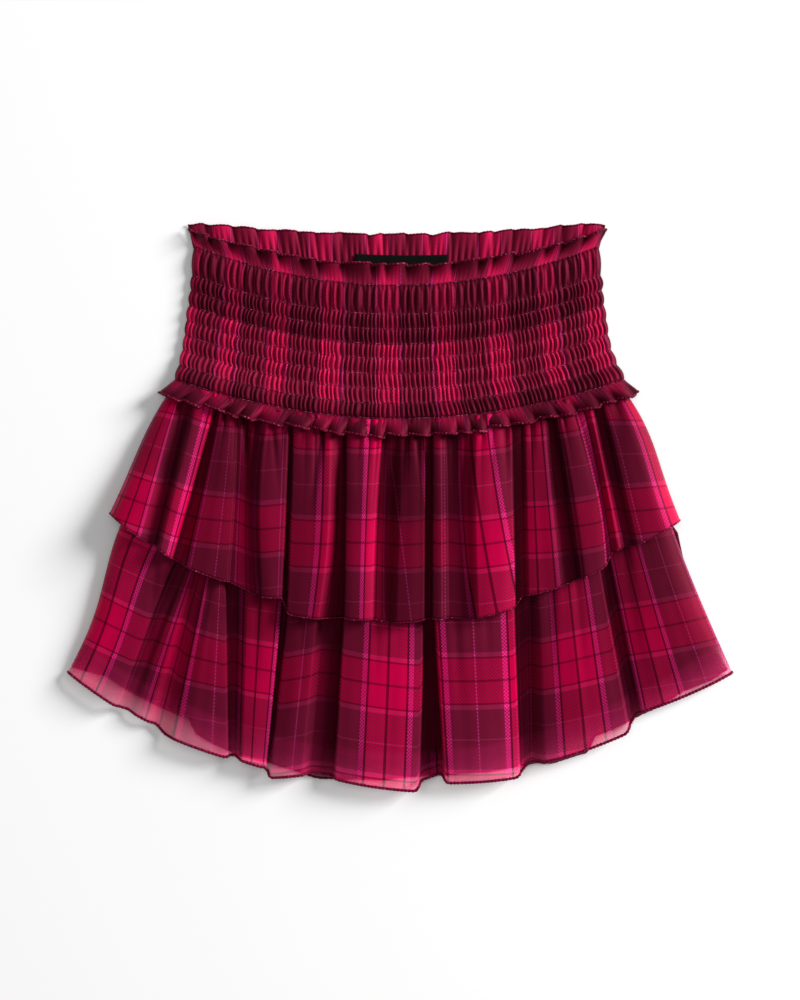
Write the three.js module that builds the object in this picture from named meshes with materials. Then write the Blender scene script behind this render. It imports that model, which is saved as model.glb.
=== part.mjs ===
import * as THREE from "three";

// A tiered mini skirt laid flat on a table: a smocked yoke with a frill along its top and its foot,
// two gathered tiers, a slip lining whose hem shows through the sheer lower tier, and a plain woven
// tab inside the back of the waist. Sizes are in millimetres. X runs across the skirt, Y from the hem
// up to the waist, and Z up from the table. The origin is on the table, under the middle of the skirt.

const wall = 1.2; // one ply of cloth, gathered a little, as it is modelled
const liningWall = 1.0;
const gap = 0.3; // clearance where pieces touch

// Yoke: nine rows of elastic thread. The first band is about twice as deep as the others.
const yokeTop = 154.4; // height of the first row on the centre line
const firstBand = 20.4;
const band = 10.45;
const stitchedRows = 9;
const rowSag = 27.5; // how far the ends of a row lie above its middle
const yokeCentre = -2.5;
const yokeHalfTop = 141;
const yokeSpread = 17; // how much wider each side is at the last row
const yokeFoot = yokeTop - firstBand - band * (stitchedRows - 2);
const smockColumns = 176; // two for each gather
const columnsPerWave = 8; // of a frill

// Heights above the table of the flat plies, from the table up.
const backYokeThickness = 2.0;
const frontYokeInside = 3.2;
const frontYokeLift = 6.0; // the bulk of the gathered tiers lifts the foot of the yoke by this
const liftReach = 25; // and starts to lift it this far above the last row
const creaseHeight = 1.2; // creases of the back tiers, pressed up off the table

// Sewing lines of the tiers, as the height on the centre line and the rise to each end.
const lowerSeam = { y: -50, rise: 66, half: 181, centre: -3 };
const upperHem = { y: -80.9, rise: 74.7, half: 200, centre: -3.5 };
const lowerHem = { y: -196.4, rise: 81.2, half: 233, centre: 0 };
const liningHem = { y: -172.5, rise: 63, half: 203, centre: 0 };

// Folds of the front tiers. seam and hem: where a fold lies across the skirt at its sewn edge and at its
// hem. rise: height of its crown. left and right: width of its flanks, narrow where the edge is crisp, 0 at
// the side of the skirt. drop: how far its hem hangs below the line of the tier, at its left and right.
const upperFolds = [
  { seam: [-156.5, -150], hem: [-203.7, -173.6], rise: 5.0, left: 0, right: 10, drop: [-1, 1.5] },
  { seam: [-146.8, -127.2], hem: [-171.5, -158.2], rise: 8.5, left: 9, right: 2.5, drop: [-1, 2] },
  { seam: [-125.4, -114.2], hem: [-154.0, -119.2], rise: 7.5, left: 16, right: 2.5, drop: [2, -2] },
  { seam: [-93.6, -77.6], hem: [-99.6, -81.6], rise: 7.5, left: 4, right: 2.5, drop: [0, -5] },
  { seam: [-75.2, -42.7], hem: [-79.4, -48.3], rise: 8.5, left: 2.5, right: 6, drop: [5.5, 3] },
  { seam: [-38.6, -10.9], hem: [-39.4, -19.0], rise: 9.0, left: 2.5, right: 2.5, drop: [0.5, -0.5] },
  { seam: [-4.8, 18.3], hem: [-11.2, 17.5], rise: 8.0, left: 9, right: 2.5, drop: [1, 0] },
  { seam: [22.5, 32.9], hem: [22.0, 34.2], rise: 8.0, left: 2.5, right: 6, drop: [0, 1] },
  { seam: [46.8, 78.1], hem: [48.8, 80.7], rise: 9.0, left: 10, right: 2.5, drop: [4, 3.5] },
  { seam: [85.5, 102.5], hem: [85.5, 117.2], rise: 3.0, left: 5, right: 8, drop: [-2.5, 1.5] },
  { seam: [105.9, 120.3], hem: [122.8, 144.2], rise: 9.0, left: 6, right: 2.5, drop: [1.8, 1.7] },
  { seam: [126.4, 133.5], hem: [148.0, 156.5], rise: 2.5, left: 4, right: 4, drop: [-5, -4] },
  { seam: [137.2, 153.0], hem: [160.5, 196.5], rise: 7.0, left: 5, right: 0, drop: [-1, 4] },
];
const lowerFolds = [
  { seam: [-182.0, -140.0], hem: [-233.0, -197.4], rise: 6.0, left: 0, right: 2.5, drop: [1.5, 2.5] },
  { seam: [-136.5, -131.8], hem: [-191.0, -171.0], rise: 2.5, left: 6, right: 6, drop: [0, 1] },
  { seam: [-129.5, -122.0], hem: [-164.5, -119.6], rise: 7.5, left: 9, right: 3, drop: [3, -1] },
  { seam: [-114.3, -79.1], hem: [-116.2, -93.1], rise: 8.0, left: 6, right: 2.5, drop: [0.5, 0.5] },
  { seam: [-75.0, -50.9], hem: [-90.0, -58.8], rise: 8.0, left: 3, right: 6, drop: [5.5, -4] },
  { seam: [-38.1, 15.5], hem: [-46.9, 13.8], rise: 9.0, left: 3, right: 2.5, drop: [-2.5, 2.6] },
  { seam: [21.5, 78.7], hem: [30.2, 84.4], rise: 9.0, left: 3, right: 2.5, drop: [-2, 2.4] },
  { seam: [88.9, 134.0], hem: [90.5, 161.0], rise: 8.0, left: 14, right: 3, drop: [-6, -2] },
  { seam: [139.0, 177.0], hem: [165.9, 233.0], rise: 6.5, left: 4, right: 0, drop: [-11, 3] },
];

// How the front tiers climb over what lies under them, along their length from seam (0) to hem (1).
const upperFloor = [
  { at: 0.0, floor: 7.3, side: 3.8 },
  { at: 0.12, floor: 7.4, side: 3.7 },
  { at: 0.3, floor: 8.2, side: 2.1 },
  { at: 0.52, floor: 9.6, side: 2.1 },
  { at: 0.75, floor: 13.4, side: 2.1 },
  { at: 1.0, floor: 16.4, side: 2.1 },
];
const lowerFloor = [
  { at: 0.0, floor: 9.2, side: 4.9 },
  { at: 0.25, floor: 9.2, side: 4.9 },
  { at: 0.4, floor: 6.5, side: 2.3 },
  { at: 0.86, floor: 6.2, side: 2.1 },
  { at: 0.96, floor: 3.8, side: 2.1 },
  { at: 1.0, floor: 3.7, side: 2.1 },
];
const upperRows = [0, 0.12, 0.3, 0.52, 0.75, 1];
const lowerRows = [0, 0.13, 0.25, 0.4, 0.63, 0.86, 1];

// Creases of the back tiers, as shares of the half width from the centre line.
const backCreases = [-0.86, -0.64, -0.43, -0.24, -0.03, 0.17, 0.4, 0.62, 0.83];
const creaseHalfWidth = 4;

const clamp01 = (v) => Math.min(1, Math.max(0, v));
const mix = (a, b, t) => a + (b - a) * t;
const smooth = (v) => {
  const t = clamp01(v);
  return t * t * (3 - 2 * t);
};

// A value of a table at t, with straight lines between its rows.
function along(table, key, t) {
  const next = table.findIndex((row) => row.at >= t - 1e-9);
  if (next <= 0) return table[0][key];
  const [a, b] = [table[next - 1], table[next]];
  return mix(a[key], b[key], (t - a.at) / (b.at - a.at));
}

// A line that bows up towards both sides of the skirt.
function bowed(line, x) {
  const share = (x - (line.centre ?? 0)) / line.half;
  return line.y + line.rise * share * share;
}

// 1 across most of a piece and 0 at its sides, falling as the edge of a flattened tube does.
const sideRoll = 14;
function roll(share) {
  return Math.sqrt(Math.max(0, 1 - Math.abs(share) ** sideRoll));
}

// Share of the way along a line of points that each point lies at.
function shares(points) {
  const far = [0];
  for (let i = 1; i < points.length; i++) far.push(far[i - 1] + points[i].distanceTo(points[i - 1]));
  return far.map((d) => d / far[far.length - 1]);
}

// A closed wall between an upper and an under grid of points, [row][column], with rows running from
// waist to hem and columns from left to right. The two grids may have different counts.
function closedWall(top, under) {
  const points = [...top.flat(), ...under.flat()];
  const number = new Map(points.map((p, i) => [p, i]));
  const faces = [];
  const add = (a, b, c) => faces.push(number.get(a), number.get(b), number.get(c));
  const skin = (grid, facesUp) => {
    for (let r = 0; r + 1 < grid.length; r++)
      for (let c = 0; c + 1 < grid[r].length; c++) {
        const [a, b] = [grid[r][c], grid[r][c + 1]];
        const [d, e] = [grid[r + 1][c], grid[r + 1][c + 1]];
        if (facesUp) {
          add(d, e, b);
          add(d, b, a);
        } else {
          add(d, b, e);
          add(d, a, b);
        }
      }
  };
  skin(top, true);
  skin(under, false);
  const sides = (grid) => {
    const left = grid.map((row) => row[0]);
    const right = grid.map((row) => row[row.length - 1]);
    return [grid[grid.length - 1], [...right].reverse(), [...grid[0]].reverse(), left];
  };
  const underSides = sides(under);
  sides(top).forEach((upper, side) => {
    const lower = underSides[side];
    const [upperShare, lowerShare] = [shares(upper), shares(lower)];
    let [i, j] = [0, 0];
    while (i + 1 < upper.length || j + 1 < lower.length) {
      const upperNext = i + 1 < upper.length ? upperShare[i + 1] : Infinity;
      const lowerNext = j + 1 < lower.length ? lowerShare[j + 1] : Infinity;
      if (upperNext <= lowerNext) {
        add(lower[j], upper[i + 1], upper[i]);
        i++;
      } else {
        add(lower[j], lower[j + 1], upper[i]);
        j++;
      }
    }
  });
  const geometry = new THREE.BufferGeometry();
  geometry.setAttribute(
    "position",
    new THREE.BufferAttribute(new Float32Array(points.flatMap((p) => p.toArray())), 3),
  );
  geometry.setIndex(faces);
  geometry.computeVertexNormals();
  return geometry;
}

// The two faces of a ply whose middle surface is a grid of points.
function ply(grid, thickness) {
  const at = (r, c) =>
    grid[Math.min(grid.length - 1, Math.max(0, r))][Math.min(grid[0].length - 1, Math.max(0, c))];
  const offset = (distance) =>
    grid.map((row, r) =>
      row.map((point, c) => {
        const across = at(r, c + 1).clone().sub(at(r, c - 1));
        const upwards = at(r - 1, c).clone().sub(at(r + 1, c));
        return point.clone().addScaledVector(across.cross(upwards).normalize(), distance);
      }),
    );
  return closedWall(offset(thickness / 2), offset(-thickness / 2));
}

// A ply that lies flat: its under face is the given grid, its upper face is straight above.
function flatPly(grid, thickness) {
  const lifted = grid.map((row) => row.map((p) => new THREE.Vector3(p.x, p.y, p.z + thickness)));
  return closedWall(lifted, grid);
}

// Columns of a folded tier: where each lies at seam and hem, and how high the cloth stands there.
function foldColumns(folds, valleyDrop) {
  const columns = [];
  const wide = 24; // a fold wider than this gets two more columns on its crown
  const openValley = 7; // a valley wider than this gets a column along its bottom
  const nearSide = 0.12; // share of an end fold at which its first inner column lies
  const crownFall = 0.25; // how much lower the edges of a crown are than its middle
  folds.forEach((fold, index) => {
    const width = fold.hem[1] - fold.hem[0];
    const rise = fold.left && Math.min(fold.left / width, 0.45);
    const fall = fold.right && Math.min(fold.right / width, 0.45);
    const crown = width > wide ? [0.25, 0.5, 0.75] : [0.5];
    const stops = new Set([0, 1]);
    for (const part of crown) stops.add(mix(rise, 1 - fall, part));
    for (const part of [0.5, 1]) {
      if (rise) stops.add(rise * part);
      if (fall) stops.add(1 - fall * part);
    }
    if (!rise) stops.add(nearSide);
    if (!fall) stops.add(1 - nearSide);
    for (const f of [...stops].sort((a, b) => a - b)) {
      const up = rise ? smooth(f / rise) : 1;
      const down = fall ? smooth((1 - f) / fall) : 1;
      const crowned = 1 - crownFall * (2 * f - 1) ** 2;
      columns.push({
        seam: mix(fold.seam[0], fold.seam[1], f),
        hem: mix(fold.hem[0], fold.hem[1], f),
        rise: fold.rise * up * down * crowned,
        drop: mix(-valleyDrop, mix(fold.drop[0], fold.drop[1], f), up * down),
      });
    }
    const next = folds[index + 1];
    const valleyWidth = next ? next.hem[0] - fold.hem[1] : 0;
    if (valleyWidth > openValley)
      columns.push({
        seam: mix(fold.seam[1], next.seam[0], 0.5),
        hem: mix(fold.hem[1], next.hem[0], 0.5),
        rise: 0,
        drop: -valleyDrop,
      });
  });
  return columns;
}

// A gathered front tier. Near the seam every other column is lifted, which makes the small gathers.
function gatheredTier(tier) {
  const { folds, rows, floorTable, seamLine, hemLine, valleyDrop, foldStart, sideBow, gatherHeight } = tier;
  const columns = foldColumns(folds, valleyDrop);
  const gatherReach = 0.3; // share of the length that the small gathers run down
  const foldReach = 0.42; // share of the length at which the folds stand at their full height
  const narrow = 2.2; // columns closer than this at the seam are the flank of one fold
  const grid = rows.map((t) => {
    const [floor, side] = [along(floorTable, "floor", t), along(floorTable, "side", t)];
    const first = columns[0];
    const last = columns[columns.length - 1];
    const bow = sideBow * Math.sin(Math.PI * t);
    const leftX = mix(first.seam, first.hem, t);
    const rightX = mix(last.seam, last.hem, t);
    return columns.map((column, i) => {
      const straight = mix(column.seam, column.hem, t);
      const share = (2 * (straight - leftX)) / (rightX - leftX) - 1;
      const x = straight - bow * share ** 5;
      const y = mix(bowed(seamLine, column.seam), bowed(hemLine, column.hem) - column.drop, t);
      const next = columns[Math.min(i + 1, columns.length - 1)];
      const before = columns[Math.max(i - 1, 0)];
      const room = Math.min(next.seam - column.seam || narrow * 2, column.seam - before.seam || narrow * 2);
      const zigzag = room > narrow ? (i % 2 ? 1 : -1) : 0;
      const gathers = zigzag * gatherHeight * (1 - smooth(t / gatherReach));
      const opened = foldStart + (1 - foldStart) * smooth(t / foldReach);
      const height = floor + column.rise * opened + gathers;
      return new THREE.Vector3(x, y, mix(side, height, roll(share)));
    });
  });
  return ply(grid, wall);
}

// A back tier, pressed flat on the table, with narrow creases that stand up off it.
function pressedTier({ lines, halves, centres, lifts, creaseFrom }) {
  const stops = [-1, 1];
  const reach = creaseHalfWidth / halves[halves.length - 1];
  for (const crease of backCreases) stops.push(crease - reach, crease, crease + reach);
  stops.sort((a, b) => a - b);
  const grid = lines.map((line, r) =>
    stops.map((share) => {
      const x = centres[r] + share * halves[r];
      const creased = backCreases.includes(share) ? creaseHeight * creaseFrom[r] : 0;
      return new THREE.Vector3(x, line(x), lifts[r] + creased);
    }),
  );
  return flatPly(grid, wall);
}

// Middle height of a row of the yoke, and its half width, by distance below the first row.
function yokeHalf(y) {
  const down = (yokeTop - y) / (yokeTop - yokeFoot);
  return yokeHalfTop + yokeSpread * Math.max(0, down) ** 2.2;
}
const stitchHeights = Array.from({ length: stitchedRows }, (_, i) =>
  i === 0 ? yokeTop : yokeTop - firstBand - band * (i - 1),
);

// Rows of the front yoke from the edge of the top frill to the edge of the foot frill.
const puffBulge = 1.2; // the cloth bulges past the side between two rows
const frillTop = { y: 168.4, sag: 25.1, half: 145.5, kind: "frill" };
const frillFoot = { y: 48.6, sag: 29.6, half: 166.5, kind: "frill" };
function frontYokeRows() {
  const rows = [frillTop];
  stitchHeights.forEach((y, i) => {
    rows.push({ y, sag: rowSag, half: yokeHalf(y), kind: "stitch" });
    if (i + 1 < stitchHeights.length) {
      const middle = (y + stitchHeights[i + 1]) / 2;
      rows.push({ y: middle, sag: rowSag, half: yokeHalf(middle) + puffBulge, kind: "puff" });
    }
  });
  rows.push(frillFoot);
  return rows;
}

function yokeFront() {
  const puffHigh = 2.1;
  const puffLow = 0.9;
  const stitchHigh = 0.5;
  const stitchLow = 0.1;
  const frillWave = 1.3;
  const frillEdgeInset = 0.9; // how far an edge dips in the plane between two waves
  const topOpen = 0.5; // the top frill leans out by this, and the foot frill by footOpen
  const footOpen = 1.3;
  const topSide = 3.3; // height of the inside at the ends of the top frill
  const bandSide = 2.4; // and at the ends of the other rows
  const footSideLift = 2.8;
  const point = (row, column, outside) => {
    const share = (2 * column) / smockColumns - 1;
    const wave = Math.sin((2 * Math.PI * column) / columnsPerWave);
    const lifted = smooth(1 - (row.y - yokeFoot) / liftReach);
    const atTop = row === frillTop;
    const inFrill = row.kind === "frill";
    const edgeOpen = atTop ? topOpen : footOpen;
    const waveHeight = inFrill ? frillWave * (1 + wave) + edgeOpen : 0;
    const inside = frontYokeInside + frontYokeLift * lifted + waveHeight;
    const side = (atTop ? topSide : bandSide) + footSideLift * lifted;
    const crest = column % 2 === 0;
    const relief = { puff: crest ? puffHigh : puffLow, stitch: crest ? stitchHigh : stitchLow, frill: 0 };
    const x = yokeCentre + share * row.half;
    const y = row.y + row.sag * share * share + (inFrill ? frillEdgeInset * wave * (atTop ? 1 : -1) : 0);
    const z = mix(side, inside, roll(share)) + (outside ? wall + relief[row.kind] : 0);
    return new THREE.Vector3(x, y, z);
  };
  const rows = frontYokeRows();
  const plain = rows.filter((row, i) => row.kind === "frill" || (row.kind === "stitch" && i % 4 === 1));
  const columns = Array.from({ length: smockColumns + 1 }, (_, c) => c);
  const plainColumns = columns.filter((c) => c % 2 === 0);
  const outer = rows.map((row) => columns.map((c) => point(row, c, true)));
  const inner = plain.map((row) => plainColumns.map((c) => point(row, c, false)));
  return closedWall(outer, inner);
}

// The back yoke lies flat under the front one. Its neckline is higher, so its top frill shows.
function yokeBack() {
  const backColumns = (2 * smockColumns) / columnsPerWave;
  const waveHeight = 0.8;
  const rows = [
    { y: 190.1, sag: 8.8, half: 146.5, thick: wall, waves: 1 },
    { y: 176.0, sag: 5.0, half: 141.5, thick: backYokeThickness, waves: 0 },
    { y: 128.0, sag: 9.0, half: 142.5, thick: backYokeThickness, waves: 0 },
    { y: 75.6, sag: 12.9, half: 158.0, thick: backYokeThickness, waves: 0 },
    { y: 74.0, sag: 13.2, half: 158.5, thick: wall, waves: 0 },
    { y: 62.0, sag: 15.4, half: 166.5, thick: wall, waves: 0 },
  ];
  const grid = (outside) =>
    rows.map((row) =>
      Array.from({ length: backColumns + 1 }, (_, column) => {
        const share = (2 * column) / backColumns - 1;
        const wave = column % 2 ? 1 : -1;
        const z = row.waves * waveHeight * (1 + wave) + (outside ? row.thick : 0);
        return new THREE.Vector3(yokeCentre + share * row.half, row.y + row.sag * share * share, z);
      }),
    );
  return closedWall(grid(true), grid(false));
}

// The slip lining, one ply for the front and one for the back, each an A-line sheet.
const underTiers = 3.1;
const overLowerTier = 5.5;
const overTable = 2.8;
const liningColumns = 10;
function liningPanel(topLine, lift) {
  const rows = [
    { line: topLine, half: 140, z: underTiers },
    { line: (x) => bowed(lowerSeam, x) + 24, half: 156, z: underTiers },
    { line: (x) => bowed(lowerSeam, x) + 5, half: 161, z: overLowerTier },
    { line: (x) => bowed(upperHem, x) - 6, half: 165, z: overLowerTier },
    { line: (x) => bowed(upperHem, x) - 27, half: 172, z: overTable },
    { line: (x) => bowed(liningHem, x), half: 188, z: overTable },
  ];
  const grid = rows.map((row) =>
    Array.from({ length: liningColumns + 1 }, (_, column) => {
      const x = ((2 * column) / liningColumns - 1) * row.half;
      return new THREE.Vector3(x, row.line(x), row.z + lift);
    }),
  );
  return flatPly(grid, liningWall);
}

// A blank woven tab, folded flat and sewn under the first row inside the back.
const tab = { x: 7, y: 165.5, width: 63, height: 20, thick: 0.6 };
function innerTab() {
  return new THREE.BoxGeometry(tab.width, tab.height, tab.thick);
}

const tierSeam = { y: yokeFoot - 1, rise: rowSag, half: 158, centre: 0 };
const backSeam = { y: 73.2, rise: 13.2, half: 158, centre: 0 };
const upperHemBack = { ...upperHem, y: upperHem.y + 2, centre: 0 };
const backHemRise = 6; // the back hem lies this far above the front hem at the sides

const cloth = { roughness: 0.75, metalness: 0 };
const finishes = {
  smocked: { color: "#7a0c2c", ...cloth },
  checked: { color: "#8c0a30", ...cloth },
  sheer: { color: "#a01240", ...cloth },
  lining: { color: "#4a0c1e", ...cloth },
  tab: { color: "#0b0b0b", ...cloth },
};

const pieces = [
  { name: "yoke_front", finish: "smocked", geometry: yokeFront() },
  { name: "yoke_back", finish: "smocked", geometry: yokeBack() },
  {
    name: "upper_tier_front",
    finish: "checked",
    geometry: gatheredTier({
      folds: upperFolds,
      rows: upperRows,
      floorTable: upperFloor,
      seamLine: tierSeam,
      hemLine: upperHem,
      valleyDrop: 1,
      foldStart: 0,
      sideBow: 0,
      gatherHeight: 0.8,
    }),
  },
  {
    name: "upper_tier_back",
    finish: "checked",
    geometry: pressedTier({
      lines: [
        (x) => bowed(backSeam, x),
        (x) => bowed({ y: 60, rise: 13, half: 160 }, x),
        (x) => bowed({ y: 50, rise: 15, half: 162 }, x),
        (x) => bowed({ y: -15, rise: 48, half: 185 }, x),
        (x) => bowed(upperHemBack, x),
      ],
      halves: [156.5, 162, 166, 185, 200],
      centres: [-2.5, -2.5, -2.5, -3, -3.5],
      lifts: [wall + 1.3 * gap, wall + 1.3 * gap, 0, 0, 0],
      creaseFrom: [0, 0, 0.4, 1, 1],
    }),
  },
  {
    name: "lower_tier_front",
    finish: "sheer",
    geometry: gatheredTier({
      folds: lowerFolds,
      rows: lowerRows,
      floorTable: lowerFloor,
      seamLine: lowerSeam,
      hemLine: lowerHem,
      valleyDrop: 3,
      foldStart: 0.25,
      sideBow: 2,
      gatherHeight: 0.4,
    }),
  },
  {
    name: "lower_tier_back",
    finish: "sheer",
    geometry: pressedTier({
      lines: [
        (x) => bowed(lowerSeam, x),
        (x) => bowed(upperHemBack, x) - 3,
        (x) => bowed(upperHemBack, x) - 14,
        (x) => bowed({ y: -150, rise: 76, half: 222 }, x),
        (x) => bowed(lowerHem, x) + (backHemRise * Math.abs(x)) / lowerHem.half,
      ],
      halves: [179, 191, 194, 213, 232.5],
      centres: [-2.5, -2, -2, -1, 0],
      lifts: [wall + creaseHeight + gap, wall + creaseHeight + gap, 0, 0, 0],
      creaseFrom: [1, 1, 1, 1, 1],
    }),
  },
  {
    name: "lining_front",
    finish: "lining",
    geometry: liningPanel((x) => bowed(tierSeam, x), liningWall + gap),
  },
  { name: "lining_back", finish: "lining", geometry: liningPanel((x) => bowed(backSeam, x) - 1, 0) },
  { name: "inner_tab", finish: "tab", geometry: innerTab() },
];

const skirt = new THREE.Group();
for (const { name, finish, geometry } of pieces) {
  const mesh = new THREE.Mesh(geometry, new THREE.MeshStandardMaterial(finishes[finish]));
  mesh.name = name;
  skirt.add(mesh);
}
skirt.getObjectByName("inner_tab").position.set(tab.x, tab.y, backYokeThickness + gap + tab.thick / 2);

export default skirt;
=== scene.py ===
import bpy
import numpy as np
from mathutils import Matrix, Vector


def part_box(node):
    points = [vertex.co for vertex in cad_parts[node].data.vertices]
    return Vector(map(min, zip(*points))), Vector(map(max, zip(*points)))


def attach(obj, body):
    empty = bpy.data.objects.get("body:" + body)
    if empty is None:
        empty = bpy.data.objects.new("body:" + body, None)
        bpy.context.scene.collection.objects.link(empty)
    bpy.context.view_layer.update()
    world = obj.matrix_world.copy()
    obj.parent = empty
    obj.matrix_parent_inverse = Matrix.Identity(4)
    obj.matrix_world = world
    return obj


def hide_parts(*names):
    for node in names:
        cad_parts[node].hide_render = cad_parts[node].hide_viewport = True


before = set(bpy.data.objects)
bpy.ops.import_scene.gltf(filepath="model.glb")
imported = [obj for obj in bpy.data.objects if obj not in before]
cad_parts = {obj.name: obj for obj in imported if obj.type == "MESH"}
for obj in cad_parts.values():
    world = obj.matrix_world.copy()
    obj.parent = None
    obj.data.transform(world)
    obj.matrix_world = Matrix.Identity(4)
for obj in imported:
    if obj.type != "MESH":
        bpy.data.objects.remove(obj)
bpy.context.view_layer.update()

# The view
# The skirt is photographed from straight above with a long lens, waist up. The frame is 560 x 700 mm
# where the cloth lies, and its middle is a little above the middle of the skirt.
VIEW_WIDTH = 0.560  # metres of table across 800 pixels
VIEW_HEIGHT = VIEW_WIDTH * 1000 / 800
VIEW_CENTRE = 0.0038  # metres above the middle of the skirt
LENS = 110.0
CLOTH_LEVEL = 0.008  # the height at which the frame is that wide
camera_data = bpy.data.cameras.new("camera")
camera_data.lens = LENS
camera = bpy.data.objects.new("camera", camera_data)
distance = VIEW_HEIGHT * LENS / camera_data.sensor_width
camera.location = (0.0, VIEW_CENTRE, CLOTH_LEVEL + distance)
bpy.context.collection.objects.link(camera)
bpy.context.scene.camera = camera


# The studio
# A pale, plain table top, a large soft light from the upper right, a weaker one from above and an even
# white surround, which leave a faint shadow at the left and below.
def node(tree, kind, inputs=None, stops=None, **settings):
    """Adds one node. Its settings are properties, its inputs are values or sockets to link from, and its
    stops are the (place, colour) pairs of a colour ramp."""
    made = tree.nodes.new(kind)
    for name, value in settings.items():
        setattr(made, name, value)
    for key, value in (inputs or {}).items():
        if isinstance(value, bpy.types.NodeSocket):
            tree.links.new(value, made.inputs[key])
        else:
            made.inputs[key].default_value = value
    if stops:
        elements = made.color_ramp.elements
        while len(elements) < len(stops):
            elements.new(1.0)
        for element, (place, colour) in zip(elements, stops):
            element.position = place
            element.color = colour
    return made


def linear(code):
    """The linear colour of an sRGB hex code."""
    srgb = np.array([int(code[i : i + 2], 16) for i in (1, 3, 5)]) / 255
    value = np.where(srgb <= 0.04045, srgb / 12.92, ((srgb + 0.055) / 1.055) ** 2.4)
    return (*value, 1.0)


def material(name):
    """A new node material, its tree and its Principled shader."""
    made = bpy.data.materials.new(name)
    made.use_nodes = True
    tree = made.node_tree
    return made, tree, tree.nodes["Principled BSDF"]


def mesh_object(name, verts, faces, finish, uv=None, painted_shading=None, clear=None):
    """An object from a (n, 3) array of points in metres and a list of faces. uv is a (n, 2) array of places
    on the cloth, in metres. The argument after uv is painted shade: how much darker each point is painted,
    most deep in a groove, with painted light below 0. clear says where nothing but the table lies under the
    cloth, from 0 to 1."""
    mesh = bpy.data.meshes.new(name)
    mesh.from_pydata(verts.tolist(), [], faces)
    mesh.shade_smooth()
    if uv is not None:
        layer = mesh.uv_layers.new(name="cloth")
        corners = np.empty(len(mesh.loops), dtype=np.int32)
        mesh.loops.foreach_get("vertex_index", corners)
        layer.uv.foreach_set("vector", uv[corners].astype(np.float32).ravel())
        for key, values in (("painted_shading", painted_shading), ("clear", clear)):
            values = np.zeros(len(verts)) if values is None else values.astype(np.float32)
            mesh.attributes.new(key, "FLOAT", "POINT").data.foreach_set("value", values)
    mesh.materials.append(finish)
    made = bpy.data.objects.new(name, mesh)
    bpy.context.collection.objects.link(made)
    return made


# Painted board, sanded matt: it shows soft shadows and no gloss.
paper, tree, shader = material("matt white table top")
shader.inputs["Base Color"].default_value = linear("#fcfcfc")
shader.inputs["Roughness"].default_value = 0.9
shader.inputs["Specular IOR Level"].default_value = 0.1
TABLE = 14.0  # half its width in metres, so that no view shows its edge
TABLE_LEVEL = -0.0003  # just under the cloth
corners = np.array([[-1, -1, 0], [1, -1, 0], [1, 1, 0], [-1, 1, 0]]) * TABLE
corners[:, 2] = TABLE_LEVEL
mesh_object("table_top", corners, [[0, 1, 2, 3]], paper)


def soft_light(name, place, size, power):
    """A square light of that size in metres and power in watts, which faces the skirt."""
    data = bpy.data.lights.new(name, "AREA")
    data.size = size
    data.energy = power
    light = bpy.data.objects.new(name, data)
    light.location = place
    light.rotation_euler = (-Vector(place)).to_track_quat("-Z", "Y").to_euler()
    bpy.context.collection.objects.link(light)


soft_light("key_light", (5.2, 2.2, 2.55), size=2.4, power=620)
soft_light("top_light", (-0.6, 0.4, 5.0), size=3.0, power=40)
SURROUND = 0.27  # how bright the surround is
surround = bpy.data.worlds.new("white surround")
surround.use_nodes = True
surround.node_tree.nodes["Background"].inputs["Color"].default_value = linear("#ffffff")
surround.node_tree.nodes["Background"].inputs["Strength"].default_value = SURROUND
bpy.context.scene.world = surround
bpy.context.scene.view_settings.view_transform = "Standard"


# The plaid chiffon
# Thin crepe chiffon, woven of twisted polyester yarns, which make it matt with a faint sheen. Its crimson
# and burgundy check is 82 mm from repeat to repeat both ways. Up the cloth run magenta stripes, across it
# pink bands, each with a thin dark line on its crimson side. Crimson and burgundy blocks have a thin line
# along their middle. Warp and weft colours mix where they cross, in fine dots that show on the stripes.
REPEAT = 0.082
HALF = REPEAT / 2
EDGE = 0.00025  # how far one colour bleeds into the next
DOTS = 0.0025  # from dot to dot of the weave, coarser than the real threads so that they show
CLOUDS = 28.0  # clouds of uneven dye to a metre
CREPE = 900.0  # bumps of the crepe to a metre, coarser than the real yarns so that they show
CREPE_HEIGHT = 0.0004
# A painted glow: light that comes through single cloth is painted on as pink.
GLOW = 0.45  # share of pink in single cloth that light comes through
# Each band from the middle of a crimson block: where it ends, its colour, and how much light it gives
# back. A dark line is the crimson ground with black threads in it.
UP_THE_CLOTH = [
    (0.0011, "#a80038", 0.3),
    (0.0151, "#a80038", 1.0),
    (0.0167, "#a80038", 0.26),
    (0.0206, "#cc2070", 0.85),
    (0.0405, "#5f0f29", 0.85),
    (0.0410, "#a42c6c", 0.9),
]
ACROSS_THE_CLOTH = [
    (0.0008, "#a80038", 0.5),
    (0.0155, "#a80038", 1.0),
    (0.0168, "#a80038", 0.5),
    (0.0200, "#6c1436", 1.5),
    (0.0406, "#5f0f29", 1.0),
    (0.0410, "#802448", 1.1),
]


def colour_bands(bands):
    """Colour stops over half a repeat. The alpha of a stop is how much light the band gives back."""
    stops, start = [], 0.0
    for end, colour, light in bands:
        shade = (*linear(colour)[:3], light)
        stops += [((start + EDGE / 2) / HALF, shade), ((end - EDGE / 2) / HALF, shade)]
        start = end
    return stops


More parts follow.
